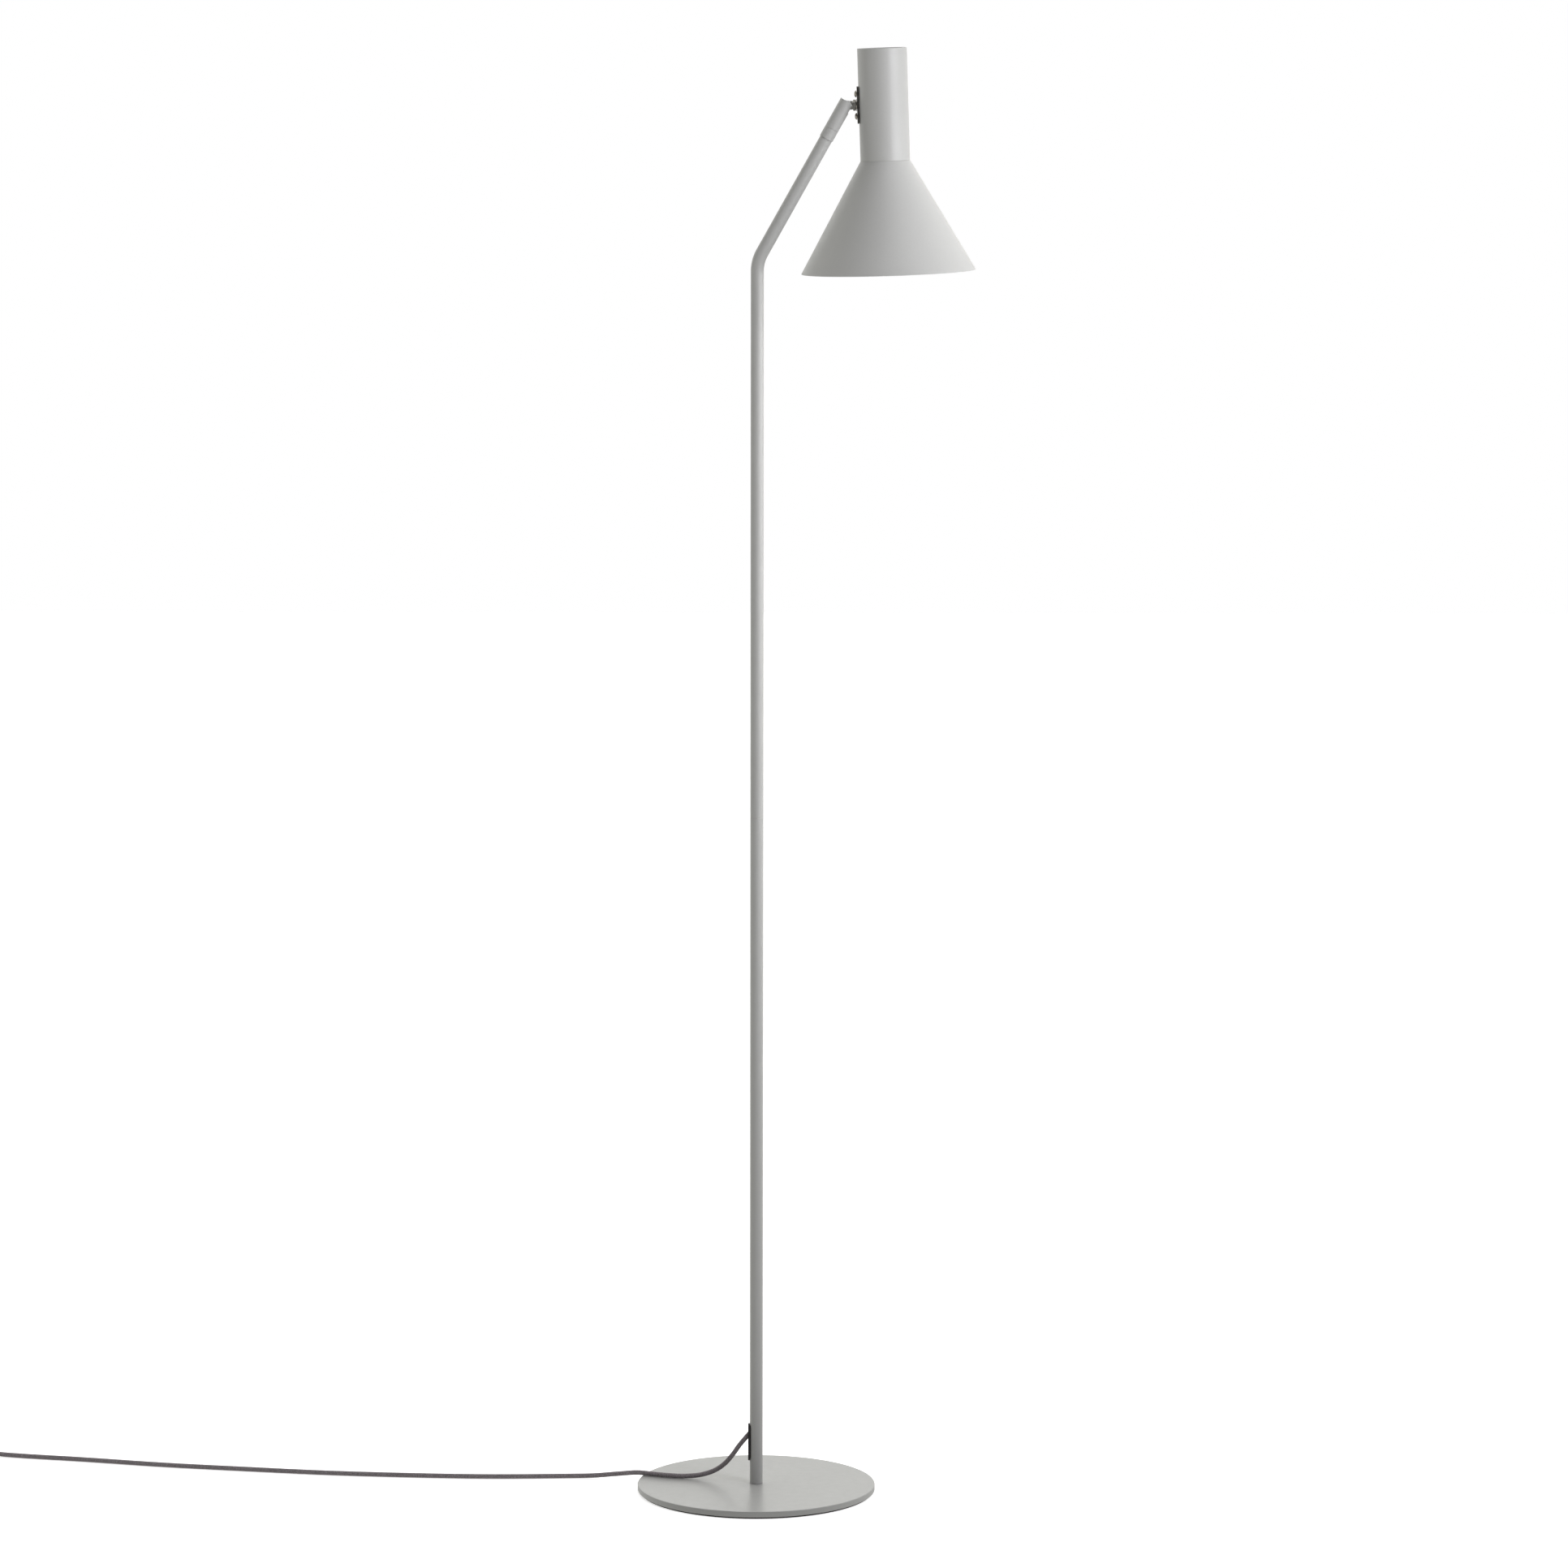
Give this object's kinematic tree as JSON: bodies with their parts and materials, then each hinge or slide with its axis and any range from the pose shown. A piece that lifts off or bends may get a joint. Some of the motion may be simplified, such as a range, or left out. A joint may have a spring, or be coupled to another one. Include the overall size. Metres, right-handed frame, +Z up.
{
  "type": "floor reading lamp",
  "caption": "Slim floor reading lamp: disc base, straight pole with bent neck, swivelling and tilting conical shade, cord with foot switch and plug.",
  "frame": {"origin": "centre of the pad's underside, on the floor and on the pole's axis", "axes": "+Z up along the pole, the neck bends and the head stands towards +X, the cord leaves towards -X"},
  "size_m": [1.2207, 0.2875, 1.5134],
  "materials": {
    "grey_powder_coat": "satin warm light grey powder coat with a very fine grain",
    "zinc_steel": "zinc or nickel plated steel, slightly warm",
    "black_steel": "black steel",
    "lamp_brass": "bare brass",
    "black_rubber": "matt black rubber",
    "grey_textile": "braided textile over a round cord",
    "black_plastic": "moulded black plastic, fine spark texture",
    "white_plastic": "white plastic or ceramic",
    "opal_diffuser": "opal diffuser"
  },
  "bodies": {
    "stand": {"base_pad": "black_rubber", "base_plate": "grey_powder_coat", "foot_nipple": "zinc_steel", "foot_washer": "zinc_steel", "foot_nut": "zinc_steel", "lower_tube": "grey_powder_coat", "mid_nipple": "zinc_steel", "upper_tube": "grey_powder_coat", "cord_grommet": "black_rubber", "pole_lead": "grey_textile", "neck_nipple": "zinc_steel", "neck_collar": "grey_powder_coat", "swivel_bolt": "zinc_steel", "cord_run": "grey_textile", "cord_bend": "grey_textile", "cord_tail": "grey_textile", "cord_coil": "grey_textile", "cord_tie": "black_rubber", "switch_base": "black_plastic", "switch_cover": "black_plastic", "switch_block": "white_plastic", "switch_spring": "zinc_steel", "switch_screw_front": "zinc_steel", "switch_screw_back": "zinc_steel", "switch_relief_front": "black_rubber", "switch_relief_back": "black_rubber", "plug_body": "black_plastic", "plug_pin_left": "zinc_steel", "plug_pin_right": "zinc_steel", "plug_relief": "black_rubber"},
    "knuckle": {"knuckle_barrel": "grey_powder_coat", "friction_washer_near": "zinc_steel", "friction_washer_far": "zinc_steel", "pivot_screw": "zinc_steel"},
    "head": {"knuckle_tongue": "zinc_steel", "stem_nut": "zinc_steel", "stem_washer": "zinc_steel", "stem_inner_nut": "zinc_steel", "bracket_plate": "black_steel", "bracket_screw_lower": "zinc_steel", "bracket_screw_upper": "zinc_steel", "holder_bracket": "zinc_steel", "holder_nipple": "zinc_steel", "holder_nut": "zinc_steel", "head_tube": "grey_powder_coat", "top_cap": "grey_powder_coat", "shade_cone": "grey_powder_coat", "shade_ring": "black_plastic", "lampholder_cap": "black_plastic", "lampholder_skirt": "black_plastic", "lampholder_core": "white_plastic", "lampholder_shell": "lamp_brass", "lampholder_contact": "lamp_brass", "head_lead": "grey_textile", "bulb_contact": "zinc_steel", "bulb_cap": "zinc_steel", "bulb_housing": "white_plastic", "bulb_globe": "opal_diffuser"},
    "switch_button": {"switch_button": "black_plastic"}
  },
  "joints": [
    {"name": "head_swivel", "type": "hinge", "parent": "stand", "child": "knuckle", "pos_m": [0.0761, 0, 1.43001], "axis": [0.4894, 0, 0.8721], "range_deg": [-165, 165]},
    {"name": "head_tilt", "type": "hinge", "parent": "knuckle", "child": "head", "pos_m": [0.08946, 0, 1.45381], "axis": [0, -1, 0], "range_deg": [-10, 60]},
    {"name": "switch_press", "type": "slide", "parent": "stand", "child": "switch_button", "axis": [0, 0, -1], "range_m": [0, 0.002], "stiffness_N_per_m": 900, "springref_m": -0.001, "deforming": ["switch_spring"]}
  ]
}
